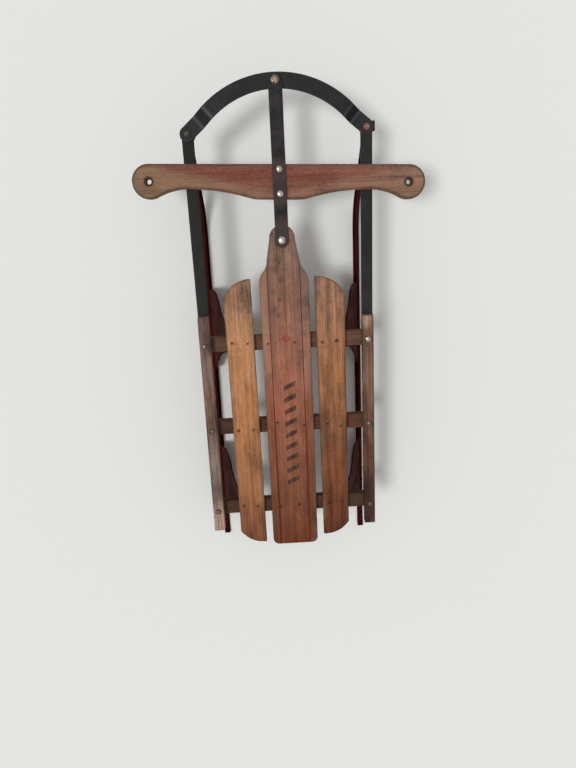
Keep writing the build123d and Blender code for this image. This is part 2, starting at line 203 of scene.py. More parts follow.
def round_and_wear(bm, rounding, spacing, reach, chip=0.0, cuts=2, stains=(), smudge_and_shade_spots=()):
    """Rounds the arrises, cuts the mesh up and chips the arrises, unevenly, by up to a depth. Marks on each
    vertex how near an arris it is, within a reach, how deep it is in a stain, and how deep it is in the
    spots given for smudging and for painted shade. Each of those is a place and a radius."""
    arrises = []
    for edge in sharp_edges(bm):
        a, b = edge.verts[0].co, edge.verts[1].co
        parts = max(1, int((b - a).length / (reach / 2)))
        arrises += [a.lerp(b, i / parts) for i in range(parts + 1)]
    tree = kdtree.KDTree(len(arrises))
    for i, point in enumerate(arrises):
        tree.insert(point, i)
    tree.balance()
    round_edges(bm, sharp_edges(bm), rounding, cuts)
    cut_up(bm, spacing)
    bm.normal_update()
    edge_wear = bm.verts.layers.float.new("edge")
    marks = [(bm.verts.layers.float.new("stain"), stains), (bm.verts.layers.float.new("smudge_and_painted_shade"), smudge_and_shade_spots)]
    chip_length = 9 * mm
    chip_rise = 0.15
    for v in bm.verts:
        v[edge_wear] = max(0.0, 1 - tree.find(v.co)[2] / reach)
        for layer, spots in marks:
            v[layer] = max([0.0] + [1 - (v.co - spot).length / size for spot, size in spots])
        v.co -= v.normal * chip * v[edge_wear] * max(0.0, noise.noise(v.co / chip_length) + chip_rise)


def finish_piece(bm, name, material, body=None, replaces=()):
    """Makes the mesh an object with its finish, in place of its solids and on its body."""
    for face in bm.faces:
        face.smooth = True
    for edge in bm.edges:
        edge.smooth = edge.is_manifold and edge.calc_face_angle(0) < radians(40)
    mesh = bpy.data.meshes.new(name)
    bm.to_mesh(mesh)
    bm.free()
    mesh.materials.append(material)
    piece = bpy.data.objects.new(name, mesh)
    bpy.context.scene.collection.objects.link(piece)
    piece.modifiers.new("even shading", "WEIGHTED_NORMAL").keep_sharp = True
    if replaces:
        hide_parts(*replaces)
    if body:
        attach(piece, body)
    return piece


def pull(bm, faces, step, spread=1.0, top_step=None):
    """Extrudes a section by a step. It may spread sideways, and its top may take another step."""
    grown = bmesh.ops.extrude_face_region(bm, geom=faces)["geom"]
    ends = [g for g in grown if isinstance(g, bmesh.types.BMVert)]
    middle = sum((v.co for v in ends), Vector()) / len(ends)
    for v in ends:
        high = v.co.z > middle.z
        v.co.y = middle.y + (v.co.y - middle.y) * spread
        v.co += Vector(top_step if high and top_step else step)
    return [g for g in grown if isinstance(g, bmesh.types.BMFace)]


def swing(bm, faces, centre, angle, steps):
    """Sweeps a section round an axis that lies across the sled."""
    swept = bmesh.ops.spin(bm, geom=faces, cent=centre, axis=(0, -1, 0), angle=angle, steps=steps)
    return [g for g in swept["geom_last"] if isinstance(g, bmesh.types.BMFace)]


def upright(bm, x, y, width, low, high):
    """Rectangular section across the sled, with its back face turned to the rear."""
    near, far = y - width / 2, y + width / 2
    corners = [(x, near, low), (x, far, low), (x, far, high), (x, near, high)]
    return bm.faces.new([bm.verts.new(c) for c in corners])


def section_at(bm, x):
    """Faces of a swept bar that lie across it at one place."""
    return [f for f in bm.faces if abs(f.calc_center_median().x - x) < hair]


# Dark red stove enamel, dipped thin: almost black in the shade, dull, with rust on its arrises.
runner_enamel = enamel("dark red enamel", paint="#3b0f0c", dusty="#290c0a", rust="#5f3120",
                       roughness=0.5, gloss=0.02, chipped=0.06, edge_wear=0.10)
climb_way = Vector((cos(rise_angle), 0, sin(rise_angle)))
sink_way = Vector((sin(rise_angle), 0, -cos(rise_angle)))
for side, sign in (("left", 1), ("right", -1)):
    tail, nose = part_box(side + "_runner")[0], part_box(side + "_runner_nose")[1]
    y = sign * runner_y
    tail_x = tail.x + curl_run
    tab_x = nose.x - tab_length
    tab_bottom = nose.z - flange_thickness
    climb = (tab_bottom - (rise_radius + crest_radius) * (1 - cos(rise_angle))) / sin(rise_angle)
    rise_x = tab_x - (rise_radius + crest_radius) * sin(rise_angle) - climb * cos(rise_angle)

    flange = bmesh.new()
    start = [upright(flange, rise_x, y, flange_width, 0, flange_thickness)]
    section = swing(flange, start, (rise_x, y, rise_radius), rise_angle, rise_steps)
    section = pull(flange, section, climb_way * climb)
    section = swing(flange, section, (tab_x, y, tab_bottom - crest_radius), -rise_angle, crest_steps)
    section = pull(flange, section, (tab_neck, sign * tab_outward[side], 0), spread=tab_width / flange_width)
    pull(flange, section, (tab_length - tab_neck, 0, 0))
    # The right tab's outer corner at the very front stays square, and the others are round.
    corners = []
    for edge in flange.edges:
        a, b = edge.verts[0].co, edge.verts[1].co
        stands = abs(a.z - b.z) > 0.9 * flange_thickness
        if stands and min(a.x, b.x) > tab_x + 1 * mm:
            if side == "left" or abs(a.y) < abs(y) or a.x < nose.x - tab_square_end:
                corners.append(edge)
    round_edges(flange, corners, tab_corner, tab_corner_cuts)
    section = pull(flange, section_at(flange, rise_x), (tail_x - rise_x, 0, 0))
    swing(flange, section, (tail_x, y, curl_radius), -asin(curl_run / curl_radius), curl_steps)

    web = bmesh.new()
    web_top = flange_thickness + web_height
    start = [upright(web, rise_x, y, web_thickness, flange_thickness - web_root, web_top)]
    section = swing(web, start, (rise_x, y, rise_radius), rise_angle, rise_steps)
    tapered = climb_way * climb + sink_way * (web_height - web_root)
    pull(web, section, climb_way * climb, top_step=tapered)
    web_rear = tail_x + web_set_back
    sloped = (web_rear + web_slope - rise_x, 0, 0)
    pull(web, section_at(web, rise_x), (web_rear - rise_x, 0, 0), top_step=sloped)

    for bm, part in ((flange, "flange"), (web, "web")):
        bmesh.ops.recalc_face_normals(bm, faces=bm.faces)
        rust = [(Vector((tab_x + tab_length / 2, y, tab_bottom)), tab_rust)]
        round_and_wear(bm, rounding=0.6 * mm, spacing=(12 * mm, 0, 5 * mm), reach=4 * mm, stains=rust)
        taken = (side + "_runner", side + "_runner_nose") if part == "flange" else ()
        piece = finish_piece(bm, f"{side}_runner_{part}", runner_enamel, replaces=taken)
        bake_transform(piece)

# Knees: steel plates pressed to a spreading foot and a bent top, in the runners' dark red enamel.
# Two round-headed rivets hold each foot to the runner's web.
knee_rivet_radius = 4.5 * mm
knee_rivet_height = 2.2 * mm
knee_rivet_level = 12.5 * mm
knee_rivet_steps = (-50 * mm, 70 * mm)
knee_foot_face = 4 * mm
join_within = 0.005 * mm


def whole_copy(name):
    """Copy of a CAD node with the loose triangles merged and the flat faces whole."""
    bm = bmesh.new()
    bm.from_mesh(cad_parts[name].data)
    bmesh.ops.remove_doubles(bm, verts=bm.verts, dist=join_within)
    bmesh.ops.dissolve_limit(bm, angle_limit=radians(1), verts=bm.verts, edges=bm.edges)
    return bm


def round_head(bm, seat, way, radius, height, rings=6, sides=28):
    """Domed rivet head on a short collar that goes a little into its seat: its outline spun about
    its axis. Collar and depth are shares of the height."""
    collar, sunk = 0.25, 0.3
    seat, way = Vector(seat), Vector(way)
    across = way.orthogonal().normalized()
    outline = [(seat + across * radius - way * height * sunk, 1.0)]
    for i in range(rings + 1):
        rise, reach = sin(pi / 2 * i / rings), cos(pi / 2 * i / rings)
        place = seat + way * height * (collar + (1 - collar) * rise) + across * radius * reach
        outline.append((place, reach))
    rim = bm.verts.layers.float.get("edge") or bm.verts.layers.float.new("edge")
    verts = []
    for place, share in outline:
        verts.append(bm.verts.new(place))
        verts[-1][rim] = share
    edges = [bm.edges.new(pair) for pair in zip(verts, verts[1:])]
    bmesh.ops.spin(bm, geom=verts + edges, cent=seat, axis=way, angle=2 * pi, steps=sides, use_merge=True)
    bmesh.ops.remove_doubles(bm, verts=bm.verts, dist=join_within)


def heads_piece(heads, name, material, body, replaces=()):
    """Piece of round heads, each given as its seat, its way out, its radius and its height, and a
    small one also with its rings and its sides."""
    bm = bmesh.new()
    for head in heads:
        round_head(bm, *head)
    bmesh.ops.recalc_face_normals(bm, faces=bm.faces)
    finish_piece(bm, name, material, body=body, replaces=replaces)


for side, sign in (("left", 1), ("right", -1)):
    for end in ("front", "rear"):
        knee = f"{side}_{end}_knee"
        bm = whole_copy(knee)
        round_and_wear(bm, rounding=0.5 * mm, spacing=(8 * mm, 0, 8 * mm), reach=4 * mm)
        finish_piece(bm, knee + "_plate", runner_enamel, body="frame", replaces=(knee,))
        rear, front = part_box(end + "_crosspiece")
        heads = []
        for step in knee_rivet_steps:
            for face in (-1, 1):
                reach = web_thickness / 2 if face == sign else knee_foot_face
                seat = ((rear.x + front.x) / 2 + step, sign * runner_y + face * reach, knee_rivet_level)
                heads.append((seat, (0, face, 0), knee_rivet_radius, knee_rivet_height))
        heads_piece(heads, knee + "_rivets", runner_enamel, body="frame")

# Crosspieces: three square bars of sawn softwood across the knees, darkened under the deck, with
# a thin old varnish that has gone dull.
crosspiece_tones = {"front": [(0, "#6f4e3f"), (1, "#5d4133")], "middle": [(0, "#683f2f"), (1, "#40261b")],
                    "rear": [(0, "#523829"), (1, "#4b2f24")]}
crosspiece_greyed = {"front": -0.02, "middle": -0.06, "rear": -0.1}


def timber(name, tones, axis, span, lined, grey, greyed, shift, cracked=0.0, soiled=(0, 0), figured=1.0,
           dark_arris_and_shade=0.4):
    """Old varnished wood. Its tones follow each other along the span of an axis. Faint growth lines and
    fibres follow the grain, and it is mottled, cracked, specked and soaked dark in stains. Its arrises are
    darker, partly grime and partly painted shade. It goes grey, between two greys, where the varnish is
    gone, and it is soiled in patches and where it is smudged, more so from a share of the span on. The shift
    sets its figure apart from the other pieces'. Returns what paint on it needs."""
    material, shader, node, place = new_material(name, 0.12)
    turned = (0, 0, 0) if axis == "X" else (0, 0, pi / 2)
    grain = node("Mapping", {"Vector": place, "Rotation": turned, "Location": shift})
    axes = node("SeparateXYZ", {"Vector": place}).node.outputs
    edge, stain, smudge_and_painted_shade = [node("Attribute", attribute_name=mark).node.outputs["Fac"]
                           for mark in ("edge", "stain", "smudge_and_painted_shade")]

    def figure(long, wide, detail, roughness=0.5):
        """Noise drawn out along the grain to a length and a width."""
        drawn = node("Mapping", {"Vector": grain, "Scale": (1 / long, 1 / wide, 1 / wide)})
        return node("TexNoise", {"Vector": drawn, "Scale": 1, "Detail": detail, "Roughness": roughness})

    broad = figure(320 * mm, 9 * mm, 3)
    narrow = figure(190 * mm, 2.3 * mm, 2)
    fibres = figure(45 * mm, 1.2 * mm, 3)
    blotches = figure(60 * mm, 22 * mm, 5)
    specks = figure(4.5 * mm, 2.4 * mm, 4, 0.65)
    patches = figure(50 * mm, 24 * mm, 5, 0.65)
    # The tone along the piece, its place shifted a little by the blotches.
    along = node("MapRange", {"Value": axes[axis], "From Min": span[0], "From Max": span[1]})
    tone = node("Math", {0: blotches, 1: 0.2, 2: along}, operation="MULTIPLY_ADD")
    tone = node("Math", {0: tone, 1: 0.1}, operation="SUBTRACT")
    tone = node("ValToRGB", {"Fac": tone}, stops=tones)
    # The figure lightens and darkens the tone about its own value.
    shares = ((broad, 0.8 * figured), (blotches, 0.8 * figured), (fibres, 0.6 * figured), (specks, 1.4))
    shade = 1 - sum(share for _, share in shares) / 2
    for figuring, share in shares:
        shade = node("Math", {0: figuring, 1: share, 2: shade}, operation="MULTIPLY_ADD")
    wood = node("VectorMath", {0: tone, "Scale": shade}, operation="SCALE")
    line = node("MapRange", {"Value": narrow, "From Min": 0.5, "From Max": 0.68, "To Max": lined})
    wood = node("MixRGB", {"Fac": line, "Color1": wood, "Color2": "#a98a78"}, blend_type="MULTIPLY")
    # Bare wood goes grey, in streaks of two greys.
    bare = node("Math", {0: edge, 1: 0.12, 2: blotches}, operation="MULTIPLY_ADD")
    bare = node("MapRange", {"Value": bare, "From Min": 0.6 - greyed, "From Max": 0.8 - greyed,
                             "To Max": 0.75})
    silver = node("MapRange", {"Value": narrow, "From Min": 0.35, "From Max": 0.65})
    silver = node("MixRGB", {"Fac": silver, "Color1": grey[0], "Color2": grey[1]})
    wood = node("MixRGB", {"Fac": bare, "Color1": wood, "Color2": silver})
    cracks = figure(260 * mm, 2.6 * mm, 2)
    cracks = node("MapRange", {"Value": cracks, "From Min": 0.7 - cracked, "From Max": 0.75 - cracked,
                               "To Max": 0.6})
    wood = node("MixRGB", {"Fac": cracks, "Color1": wood, "Color2": "#35231b"})
    # Soil lies in patches, more of it from a place along the piece on, and in the smudges.
    soil = node("MapRange", {"Value": along, "From Min": soiled[0], "To Max": soiled[1]})
    soil = node("Math", {0: patches, 1: soil}, operation="ADD")
    soil = node("Math", {0: smudge_and_painted_shade, 1: 0.25, 2: soil}, operation="MULTIPLY_ADD")
    soil = node("MapRange", {"Value": soil, "From Min": 0.54, "From Max": 0.78, "To Max": 0.85})
    grimy = node("MapRange", {"Value": specks, "From Min": 0.36, "From Max": 0.62, "To Min": 0.4})
    soil = node("Math", {0: soil, 1: grimy}, operation="MULTIPLY")
    wood = node("MixRGB", {"Fac": soil, "Color1": wood, "Color2": "#3f342e"})
    pepper = node("MapRange", {"Value": specks, "From Min": 0.59, "From Max": 0.68, "To Max": 0.55})
    wood = node("MixRGB", {"Fac": pepper, "Color1": wood, "Color2": "#38281f"})
    # Darker arrises, partly grime and partly painted shade.
    rim = node("MapRange", {"Value": edge, "From Min": 0.55, "From Max": 0.95, "To Max": dark_arris_and_shade})
    wood = node("MixRGB", {"Fac": rim, "Color1": wood, "Color2": "#4b382c"})
    soaked = node("Math", {0: specks, 1: 0.5, 2: stain}, operation="MULTIPLY_ADD")
    soaked = node("MapRange", {"Value": soaked, "From Min": 0.45, "From Max": 0.85, "To Max": 0.8})
    wood = node("MixRGB", {"Fac": soaked, "Color1": wood, "Color2": "#2c1c14"})
    rough = node("MapRange", {"Value": bare, "To Min": 0.5, "To Max": 0.85})
    # Fibres and growth lines stand up, and cracks go down.
    height = node("Math", {0: cracks, 1: -1.0, 2: fibres}, operation="MULTIPLY_ADD")
    height = node("Math", {0: line, 1: 0.6, 2: height}, operation="MULTIPLY_ADD")
    relief = node("Bump", {"Height": height, "Strength": 0.6, "Distance": 0.35 * mm})
    connect(material, shader, Base_Color=wood, Roughness=rough, Normal=relief)
    rubbed = node("Math", {0: broad, 1: narrow}, operation="ADD")
    rubbed = node("Math", {0: specks, 1: 0.8, 2: rubbed}, operation="MULTIPLY_ADD")
    return {"material": material, "shader": shader, "node": node, "wood": wood, "axes": axes,
            "broad": broad, "rubbed": rubbed}


# Sawn softwood, thinly varnished: a dull dark brown, with less grey on each bar further back.
for i, where in enumerate(("front", "middle", "rear")):
    bm = whole_copy(where + "_crosspiece")
    round_and_wear(bm, rounding=1.2 * mm, spacing=(0, 6 * mm, 5 * mm), reach=5 * mm, chip=0.5 * mm)
    wood = timber(f"sawn softwood of the {where} crosspiece", crosspiece_tones[where], "Y",
                  span=(-150 * mm, 150 * mm), lined=0.5, grey=("#4c3c33", "#6a584c"),
                  greyed=crosspiece_greyed[where], shift=(i * 0.7, 0.3, 0.1))
    finish_piece(bm, where + "_crosspiece_bar", wood["material"], body="frame",
                 replaces=(where + "_crosspiece",))

# Rails: two square strips that lie on the ends of the crosspieces and are bolted through them.
# Their varnish is gone, so the softwood is weathered to grey and rounded at its arrises.
# The right rail's lightest tone, at its very front end, is a painted highlight where that end catches the
# light.
rail_tones = {
    "left": [(0, "#b79a88"), (0.09, "#a58778"), (0.17, "#6b5850"), (0.32, "#8c7a70"), (0.5, "#6d5143"),
             (0.62, "#876b5a"), (1, "#7f665d")],
    "right": [(0, "#43281d"), (0.2, "#492e22"), (0.42, "#684838"), (0.6, "#6c4e3e"), (0.94, "#725849"),
              (1, "#957c6c")],
}
rail_greyed = {"left": 0.1, "right": 0.0}

# Weathered softwood, planed once: grey over brown, matt, deeply streaked and cracked.
for i, side in enumerate(("left", "right")):
    low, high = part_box(side + "_rail")
    bm = whole_copy(side + "_rail")
    round_and_wear(bm, rounding=2.2 * mm, spacing=(6 * mm, 0, 4 * mm), reach=6 * mm, chip=1.0 * mm, cuts=3)
    wood = timber(f"weathered softwood of the {side} rail", rail_tones[side], "X", span=(low.x, high.x),
                  lined=0.8, grey=("#524843", "#8c7f78"), greyed=rail_greyed[side],
                  shift=(0.9 + i, 0.2, 0.5), cracked=0.09, soiled=(0.8, 0.05), figured=2.4, dark_arris_and_shade=0.5)
    finish_piece(bm, side + "_rail_strip", wood["material"], body="frame",
                 replaces=(side + "_rail",))

# Deck: a centre board and two slats of varnished softwood, nailed down into the crosspieces. The
# nails have rusted and stained the wood round them. The tables have X and Y in millimetres, and
# for a smudge and a stain also the radius, and tones from the rear to the front.
nail_radius = 1.6 * mm
nail_sizes = (0.75, 1.1)
nail_height = 0.5 * mm
nail_sunk = 0.2 * mm
nail_rings = 3
nail_sides = 14
nail_stain_radii = (4, 6.5)
nail_places = {
    "left_slat": [(3, 99), (1, 71), (-164, 98), (-164, 70), (-319, 98), (-321, 71)],
    "right_slat": [(-3, -65), (-1, -91), (-165, -94), (-159, -70), (-320, -93), (-322, -69)],
    "centre_board": [(-1, 34), (-1, -14), (-152, 24), (-322, -10), (-160, -26), (-324, 26)],
}
pivot_x = 180 * mm
pivot_stain = 19 * mm
deck_tones = {
    "left_slat": [(0, "#784a31"), (0.25, "#a06b47"), (0.55, "#b47b50"), (0.8, "#b4825b"), (1, "#97725b")],
    "right_slat": [(0, "#592f1b"), (0.22, "#744428"), (0.33, "#7a4b31"), (0.42, "#6f4730"),
                   (0.52, "#996544"), (0.62, "#9f6b47"), (1, "#967059")],
    "centre_board": [(0, "#6b381c"), (0.12, "#7f5137"), (0.35, "#915e46"), (0.55, "#a86f56"),
                     (0.8, "#9f7660"), (1, "#9a7763")],
}
deck_figured = {"left_slat": 1.2, "right_slat": 1.7, "centre_board": 1.1}
deck_soiled = {"left_slat": (0.84, 0.1), "right_slat": (0.8, 0.06), "centre_board": (0.6, 0.16)}
deck_smudges = {
    "left_slat": [(88, 73, 18), (73, 66, 14), (60, 64, 9)],
    "right_slat": [(106, -60, 16), (88, -60, 11), (88, -101, 9), (-12, -71, 8)],
    "centre_board": [(146, 12, 11), (130, 17, 12), (112, 6, 8), (77, 10, 6), (50, 12, 8), (28, 9, 6),
                     (72, -33, 15), (42, -34, 16), (14, -33, 11), (60, 21, 10), (92, 22, 9)],
}
deck_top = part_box("left_slat")[1].z
up = (0, 0, 1)

# Varnished softwood, planed and worn: warm brown with a low sheen, darker and redder to the rear, partly the
# old varnish and partly painted shade.
nail_heads = []
chance = Random(7)
timbers = {}
for i, name in enumerate(("left_slat", "right_slat", "centre_board")):
    low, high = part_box(name)
    stains = [(Vector((x * mm, y * mm, deck_top)), chance.uniform(*nail_stain_radii) * mm)
              for x, y in nail_places[name]]
    nail_seats = [place - Vector((0, 0, nail_sunk)) for place, _ in stains]
    if name == "centre_board":
        stains.append((Vector((pivot_x, 0, deck_top)), pivot_stain))
    smudge_and_shade_spots = [(Vector((x * mm, y * mm, deck_top)), size * mm) for x, y, size in deck_smudges[name]]
    bm = whole_copy(name)
    round_and_wear(bm, rounding=0.9 * mm, spacing=(3.2 * mm, 3.2 * mm, 4 * mm), reach=6 * mm, chip=0.7 * mm,
                   stains=stains, smudge_and_shade_spots=smudge_and_shade_spots)
    timbers[name] = timber("varnished softwood of the " + name.replace("_", " "), deck_tones[name], "X",
                           span=(low.x, high.x), lined=0.5, grey=("#5e5048", "#8f7c6d"), greyed=-0.03,
                           shift=(0.37 * i, 0.21 * i, 0.1), soiled=deck_soiled[name],
                           figured=deck_figured[name])
    finish_piece(bm, name + "_plank", timbers[name]["material"], body="frame",
                 replaces=(name,))
    for seat in nail_seats:
        size = nail_radius * chance.uniform(*nail_sizes)
        nail_heads.append((seat, up, size, nail_height, nail_rings, nail_sides))

# Rusted wire nails: flat dark brown heads with no shine.
nail_rust = enamel("rusted steel wire", paint="#3a261b", dusty="#4a3122", rust="#573625",
                   roughness=0.7, gloss=0.2, chipped=0.1, edge_wear=0.0)
heads_piece(nail_heads, "deck_nails", nail_rust, body="frame")

# Centre board's paint: two thin dark red lines, a faded red lozenge and a row of slanted dark
# dashes between them, all rubbed away along the grain by boots. It is on the board's top face only.
# The row and the dashes' reach have a middle and a half length, and the row's are in pitches.
line_places = (29 * mm, -28.5 * mm)
line_half_width = (1.9 * mm, 0.9 * mm)
lozenge_middle = (6.5 * mm, 1.5 * mm)
lozenge_half = (9 * mm, 13 * mm)
dash_pitch = 23.5 * mm
dash_half_width = 4.6 * mm
dash_row = (-7.5, 4.5)
dash_reach = (-1.25 * mm, 11.25 * mm)
dash_slant = 0.45
board = timbers["centre_board"]
node, axes, rubbed = board["node"], board["axes"], board["rubbed"]

# A rosy wash between the lines, that fades towards the nose.
inner = node("Math", {0: axes["Y"], 1: 0, 2: 28 * mm}, operation="COMPARE")
fading = node("MapRange", {"Value": axes["X"], "From Min": 90 * mm, "From Max": 150 * mm, "To Min": 0.4,
                           "To Max": 0.05})
rosy = node("Math", {0: inner, 1: fading}, operation="MULTIPLY")
skin = node("MixRGB", {"Fac": rosy, "Color1": board["wood"], "Color2": "#d8b4b4"}, blend_type="MULTIPLY")

# Mauve grime towards both sides of the front half, streaked along the grain.
off_middle = node("Math", {0: axes["Y"], 1: 3 * mm}, operation="SUBTRACT")
off_middle = node("Math", {0: off_middle}, operation="ABSOLUTE")
flank = node("MapRange", {"Value": off_middle, "From Min": 8 * mm, "From Max": 26 * mm})
front_half = node("MapRange", {"Value": axes["X"], "From Min": -130 * mm, "From Max": 60 * mm})
flank = node("Math", {0: flank, 1: front_half}, operation="MULTIPLY")
streaks = node("MapRange", {"Value": board["broad"], "From Min": 0.35, "From Max": 0.65, "To Min": 0.2,
                            "To Max": 0.8})
flank = node("Math", {0: flank, 1: streaks}, operation="MULTIPLY")
skin = node("MixRGB", {"Fac": flank, "Color1": skin, "Color2": "#6b5551"})

# A tan margin outside the left line in front, and darker margins outside both lines behind.
left_margin = node("MapRange", {"Value": axes["Y"], "From Min": 30 * mm, "From Max": 32 * mm, "To Max": 0.3})
in_front = node("MapRange", {"Value": axes["X"], "From Min": -60 * mm, "From Max": 20 * mm})
left_margin = node("Math", {0: left_margin, 1: in_front}, operation="MULTIPLY")
skin = node("MixRGB", {"Fac": left_margin, "Color1": skin, "Color2": "#b0805a"})
outward = node("Math", {0: axes["Y"]}, operation="ABSOLUTE")
margins = node("MapRange", {"Value": outward, "From Min": 28 * mm, "From Max": 31 * mm})
behind = node("MapRange", {"Value": axes["X"], "From Min": -100 * mm, "From Max": -30 * mm, "To Min": 0.4,
                           "To Max": 0})
margins = node("Math", {0: margins, 1: behind}, operation="MULTIPLY")
skin = node("MixRGB", {"Fac": margins, "Color1": skin, "Color2": "#b07f66"}, blend_type="MULTIPLY")

# The two lines, wider towards the rear.
line_width = node("MapRange", {"Value": axes["X"], "From Min": -300 * mm, "From Max": -100 * mm,
                               "To Min": line_half_width[0], "To Max": line_half_width[1]})
left_line, right_line = [node("Math", {0: axes["Y"], 1: line_y, 2: line_width}, operation="COMPARE")
                         for line_y in line_places]
lines = node("Math", {0: left_line, 1: right_line}, operation="ADD")
kept = node("MapRange", {"Value": rubbed, "From Min": 1.3, "From Max": 1.9, "To Min": 1, "To Max": 0.6})
lines = node("Math", {0: lines, 1: kept}, operation="MULTIPLY")
skin = node("MixRGB", {"Fac": lines, "Color1": skin, "Color2": "#551811"})

# The lozenge, where the shares of its half length and half width add up to less than one.
away = []
for axis, middle, half in zip("XY", lozenge_middle, lozenge_half):
    shifted = node("Math", {0: axes[axis], 1: middle}, operation="SUBTRACT")
    shifted = node("Math", {0: shifted}, operation="ABSOLUTE")
    away.append(node("Math", {0: shifted, 1: half}, operation="DIVIDE"))
away = node("Math", {0: away[0], 1: away[1]}, operation="ADD")
lozenge = node("MapRange", {"Value": away, "From Min": 0.92, "From Max": 1.05, "To Min": 1, "To Max": 0})
kept = node("MapRange", {"Value": rubbed, "From Min": 1.1, "From Max": 1.7, "To Min": 0.8, "To Max": 0.1})
lozenge = node("Math", {0: lozenge, 1: kept}, operation="MULTIPLY")
skin = node("MixRGB", {"Fac": lozenge, "Color1": skin, "Color2": "#87342e"})

# The slanted dashes, one to each pitch within the row, within their reach across the board.
slanted = node("Math", {0: axes["Y"], 1: dash_slant, 2: axes["X"]}, operation="MULTIPLY_ADD")
slanted = node("Math", {0: slanted, 1: dash_pitch}, operation="DIVIDE")
dashes = node("Math", {0: slanted}, operation="FRACT")
dashes = node("Math", {0: dashes, 1: 0.5, 2: dash_half_width / dash_pitch}, operation="COMPARE")
in_row = node("Math", {0: slanted, 1: dash_row[0], 2: dash_row[1]}, operation="COMPARE")
dashes = node("Math", {0: dashes, 1: in_row}, operation="MULTIPLY")
in_reach = node("Math", {0: axes["Y"], 1: dash_reach[0], 2: dash_reach[1]}, operation="COMPARE")
dashes = node("Math", {0: dashes, 1: in_reach}, operation="MULTIPLY")
kept = node("MapRange", {"Value": rubbed, "From Min": 1.2, "From Max": 1.8, "To Min": 0.95, "To Max": 0.35})
dashes = node("Math", {0: dashes, 1: kept}, operation="MULTIPLY")
skin = node("MixRGB", {"Fac": dashes, "Color1": skin, "Color2": "#2a211d"})
on_top = node("MapRange", {"Value": axes["Z"], "From Min": deck_top - 1.0 * mm,
                           "From Max": deck_top - 0.4 * mm})
skin = node("MixRGB", {"Fac": on_top, "Color1": board["wood"], "Color2": skin})
connect(board["material"], board["shader"], Base_Color=skin)

# Side bars: flat black steel from the front rail bolts to the ends of the bow. Their enamel is
# satin, dusty on top and rubbed to rust at the edges.
bow_rivets_low, bow_rivets_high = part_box("bow_end_rivets")
bow_end_x = (bow_rivets_low.x + bow_rivets_high.x) / 2
bow_end_rivet_radius = 6 * mm
bow_end_y = bow_rivets_high.y - bow_end_rivet_radius
side_bar_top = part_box("left_side_bar")[1].z
side_bar_stain = 20 * mm

# Black stove enamel: a satin black with a soft gleam. The left bar's copy is painted darker, a painted
# shade, with less dust.
black_enamel = enamel("black enamel", paint="#232223", dusty="#2e2b2b", rust="#553522",
                      roughness=0.36, gloss=0.14, chipped=0.03, edge_wear=0.08)
shaded_black_enamel = enamel("black enamel painted darker for shade", paint="#191817", dusty="#231f1d", rust="#553522",
                     roughness=0.4, gloss=0.12, chipped=0.03, edge_wear=0.08)
for side, sign, coat in (("left", 1, shaded_black_enamel), ("right", -1, black_enamel)):
    bm = whole_copy(side + "_side_bar")
    stains = [(Vector((bow_end_x, sign * bow_end_y, side_bar_top)), side_bar_stain)]
    round_and_wear(bm, rounding=0.6 * mm, spacing=(6 * mm, 6 * mm, 0), reach=3 * mm, stains=stains)
    finish_piece(bm, side + "_side_strip", coat, body=side + "_bar",
                 replaces=(side + "_side_bar",))

# Bow: one flat black steel strip bent to an arch in its own plane, and stepped down at both ends to the side
# bars. At each step its coat carries painted shade, near black, with a painted highlight round it, laid by a
# row of spots across the strip. A step's place is X in millimetres, its side, how far out it is, and its
# spots' radius.
right_end_stain = (Vector((bow_end_x, -bow_end_y, side_bar_top)), 28 * mm)
crown_stain = (Vector((438 * mm, 0, 140 * mm)), 20 * mm)
step_level = 135 * mm
across_strip = (0.76, 0.65)
step_reach = 12
step_pitch = 3
step_places = ((384, 1, 122, 17), (381, -1, 127, 13))
painted_step_shade_spots = []
for x, sign, out, size in step_places:
    for across in range(-step_reach, step_reach + 1, step_pitch):
        y = sign * (out + across_strip[1] * across)
        painted_step_shade_spots.append((Vector(((x + across_strip[0] * across) * mm, y * mm, step_level)), size * mm))
bm = whole_copy("bow")
round_and_wear(bm, rounding=0.6 * mm, spacing=(3 * mm, 3 * mm, 0), reach=3 * mm,
               stains=(right_end_stain, crown_stain), smudge_and_shade_spots=painted_step_shade_spots)
finish_piece(bm, "bow_strip", black_enamel, body="bow_arch", replaces=("bow",))

# Steering strap: flat black steel from the bow over the steering bar to the nose of the deck. It
# is rusty where hands and the bar have rubbed it.
strap_low, strap_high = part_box("steering_strap")
stained_over_bar = (250 * mm, 264 * mm, 278 * mm, 292 * mm)
stained_at_nose = (180 * mm, 208 * mm)
strap_stains = [(Vector((x, 0, strap_high.z)), 24 * mm) for x in stained_over_bar]
strap_stains += [(Vector((x, 0, strap_low.z)), 20 * mm) for x in stained_at_nose]

# The same enamel, rubbed: mottled with brown rust and dust.
rubbed_enamel = enamel("rubbed black enamel", paint="#1f2022", dusty="#3f3533", rust="#5d3a2a",
                       roughness=0.36, gloss=0.14, chipped=0.03, edge_wear=0.08, mottled=0.5)
bm = whole_copy("steering_strap")
round_and_wear(bm, rounding=0.6 * mm, spacing=(5 * mm, 5 * mm, 0), reach=3 * mm, stains=strap_stains)
finish_piece(bm, "steering_strap_strip", rubbed_enamel, body="steering_lever",
             replaces=("steering_strap",))

